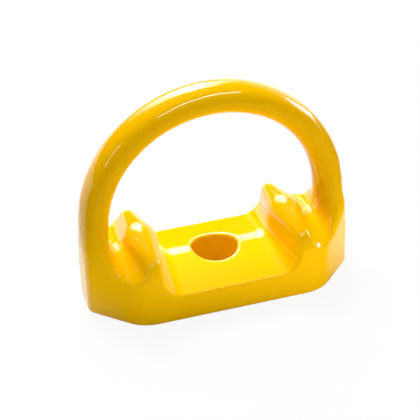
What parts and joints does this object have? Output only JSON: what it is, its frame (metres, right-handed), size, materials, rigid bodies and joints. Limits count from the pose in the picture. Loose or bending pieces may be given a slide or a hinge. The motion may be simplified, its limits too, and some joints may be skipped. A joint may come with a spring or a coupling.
{
  "type": "swivel hoist ring",
  "caption": "Forged D-shaped lifting ring in glossy yellow paint; its saddle base has a central bolt hole and swivels on a captive foot bush.",
  "frame": {"origin": "on the mounting face, at the axis of the bolt bore", "axes": "+Z along the bolt bore, away from the mounting face; +X along the base, in the plane of the bow; +Y across the base"},
  "size_m": [0.1048, 0.0474, 0.0843],
  "materials": {
    "yellow_paint": "glossy powder coat",
    "bronze": "machined",
    "bearing_plastic": "matt",
    "spring_steel": "oiled"
  },
  "bodies": {
    "foot": {"foot_bush": "bronze", "thrust_washer": "bearing_plastic"},
    "ring": {"ring_body": "yellow_paint", "snap_ring": "spring_steel"}
  },
  "joints": [
    {"name": "swivel", "type": "hinge", "parent": "foot", "child": "ring", "pos_m": [0, 0, 0], "axis": [0, 0, 1], "continuous": true}
  ]
}
